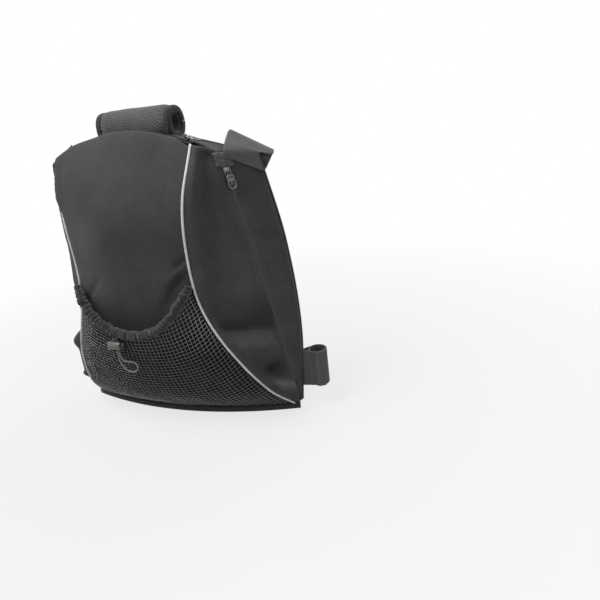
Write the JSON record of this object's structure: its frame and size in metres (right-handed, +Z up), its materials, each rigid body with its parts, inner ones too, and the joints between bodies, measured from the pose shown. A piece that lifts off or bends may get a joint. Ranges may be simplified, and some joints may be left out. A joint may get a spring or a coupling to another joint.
{
  "type": "tackle backpack",
  "caption": "Soft padded tackle backpack with flared zipped sides, piped rear panel, gathered mesh pocket with cord lock, and tube wraps that hang it on a seat frame.",
  "frame": {"origin": "on the axis of the hanging tube, at the middle of the top carry sleeve", "axes": "+X to the right seen from behind the bag, -Y to the rear panel, +Y to the seat or wearer, +Z up"},
  "size_m": [0.513, 0.1852, 0.518],
  "materials": {
    "shell_fabric": "matt woven, charcoal",
    "back_fabric": "spacer mesh, black",
    "foam": "closed-cell foam",
    "frame_plastic": "sheet plastic",
    "edge_tape": "woven tape, black",
    "piping": "pale grey cord cover",
    "zip_tape": "woven tape with moulded teeth",
    "zip_metal": "black nickel",
    "net": "knotless nylon net, black",
    "hem_elastic": "gathered elastic, black",
    "cord": "braided elastic cord, black",
    "lock_plastic": "moulded, dark grey",
    "button_plastic": "moulded, black",
    "sleeve_fabric": "padded fine mesh fabric",
    "wrap_fabric": "smooth coated fabric, dark grey",
    "buckle_plastic": "moulded, black"
  },
  "bodies": {
    "bag": {"rear_panel": "shell_fabric", "top_panel": "shell_fabric", "right_rear_gusset": "shell_fabric", "left_rear_gusset": "shell_fabric", "right_front_gusset": "shell_fabric", "left_front_gusset": "shell_fabric", "front_panel": "back_fabric", "back_foam": "foam", "frame_sheet": "frame_plastic", "bottom_strip": "edge_tape", "right_piping": "piping", "left_piping": "piping", "right_zip_tapes": "zip_tape", "left_zip_tapes": "zip_tape", "top_zip_tapes": "zip_tape", "right_zip_garage": "shell_fabric", "left_zip_garage": "shell_fabric", "mesh_pocket": "net", "pocket_hem": "hem_elastic", "hem_eyelet": "zip_metal", "drawcord": "cord", "carry_sleeve": "sleeve_fabric", "right_shoulder_wrap": "wrap_fabric", "left_shoulder_wrap": "wrap_fabric", "right_lower_wrap": "wrap_fabric", "left_lower_wrap": "wrap_fabric", "right_shoulder_tab": "wrap_fabric", "left_shoulder_tab": "wrap_fabric", "right_lower_tab": "wrap_fabric", "left_lower_tab": "wrap_fabric", "strap_yoke": "back_fabric", "right_shoulder_strap": "back_fabric", "left_shoulder_strap": "back_fabric", "right_strap_webbing": "edge_tape", "left_strap_webbing": "edge_tape", "strap_anchors": "edge_tape"},
    "right_zip_slider": {"right_zip_slider": "zip_metal"},
    "left_zip_slider": {"left_zip_slider": "zip_metal"},
    "top_zip_slider": {"top_zip_slider": "zip_metal"},
    "right_zip_pull": {"right_zip_pull": "zip_metal"},
    "left_zip_pull": {"left_zip_pull": "zip_metal"},
    "top_zip_pull": {"top_zip_pull": "zip_metal"},
    "cord_lock": {"cord_lock_barrel": "lock_plastic", "cord_lock_spring": "zip_metal"},
    "cord_lock_button": {"cord_lock_plunger": "button_plastic"},
    "sleeve_flap": {"carry_sleeve_flap": "sleeve_fabric"},
    "right_shoulder_flap": {"right_shoulder_flap": "wrap_fabric"},
    "left_shoulder_flap": {"left_shoulder_flap": "wrap_fabric"},
    "right_lower_flap": {"right_lower_flap": "wrap_fabric"},
    "left_lower_flap": {"left_lower_flap": "wrap_fabric"},
    "right_ladder_lock": {"right_ladder_lock": "buckle_plastic"},
    "left_ladder_lock": {"left_ladder_lock": "buckle_plastic"}
  },
  "joints": [
    {"name": "right_zip_run", "type": "slide", "parent": "bag", "child": "right_zip_slider", "axis": [0.1472, 0.0891, -0.9851], "range_m": [0, 0.352]},
    {"name": "left_zip_run", "type": "slide", "parent": "bag", "child": "left_zip_slider", "axis": [-0.1472, 0.0891, -0.9851], "range_m": [0, 0.352]},
    {"name": "top_zip_run", "type": "hinge", "parent": "bag", "child": "top_zip_slider", "pos_m": [0, -0.0461, -0.28502], "axis": [0, -1, 0], "range_deg": [0, 41.1]},
    {"name": "right_pull_swing", "type": "hinge", "parent": "right_zip_slider", "child": "right_zip_pull", "pos_m": [0.1576, -0.03643, -0.07727], "axis": [-0.6707, -0.723, -0.1656], "range_deg": [0, 150]},
    {"name": "left_pull_swing", "type": "hinge", "parent": "left_zip_slider", "child": "left_zip_pull", "pos_m": [-0.1576, -0.03643, -0.07727], "axis": [-0.6707, 0.723, 0.1656], "range_deg": [0, 150]},
    {"name": "top_pull_swing", "type": "hinge", "parent": "top_zip_slider", "child": "top_zip_pull", "pos_m": [0.10083, -0.0461, -0.0188], "axis": [0, -1, 0], "range_deg": [0, 150]},
    {"name": "cord_lock_run", "type": "slide", "parent": "bag", "child": "cord_lock", "axis": [0, 0, -1], "range_m": [0, 0.011]},
    {"name": "cord_lock_press", "type": "slide", "parent": "cord_lock", "child": "cord_lock_button", "axis": [-1, 0, 0], "range_m": [0, 0.004], "stiffness_N_per_m": 400, "deforming": ["cord_lock_spring"]},
    {"name": "sleeve_flap_open", "type": "hinge", "parent": "bag", "child": "sleeve_flap", "pos_m": [0, -0.027, 0], "axis": [1, 0, 0], "range_deg": [0, 95]},
    {"name": "right_shoulder_flap_open", "type": "hinge", "parent": "bag", "child": "right_shoulder_flap", "pos_m": [0.17546, 0.0246, -0.03829], "axis": [0.8239, 0.2434, -0.5118], "range_deg": [0, 110]},
    {"name": "left_shoulder_flap_open", "type": "hinge", "parent": "bag", "child": "left_shoulder_flap", "pos_m": [-0.17546, 0.0246, -0.03829], "axis": [0.8239, -0.2434, 0.5118], "range_deg": [0, 110]},
    {"name": "right_lower_flap_open", "type": "hinge", "parent": "bag", "child": "right_lower_flap", "pos_m": [0.23408, 0.04569, -0.42], "axis": [0, 0, 1], "range_deg": [0, 110]},
    {"name": "left_lower_flap_open", "type": "hinge", "parent": "bag", "child": "left_lower_flap", "pos_m": [-0.23408, 0.04569, -0.42], "axis": [0, 0, -1], "range_deg": [0, 110]},
    {"name": "right_ladder_tilt", "type": "hinge", "parent": "bag", "child": "right_ladder_lock", "pos_m": [0.09417, -0.00809, -0.3442], "axis": [0.9862, 0.1657, 0], "range_deg": [0, 45]},
    {"name": "left_ladder_tilt", "type": "hinge", "parent": "bag", "child": "left_ladder_lock", "pos_m": [-0.09417, -0.00809, -0.3442], "axis": [0.9862, -0.1657, 0], "range_deg": [0, 45]}
  ]
}
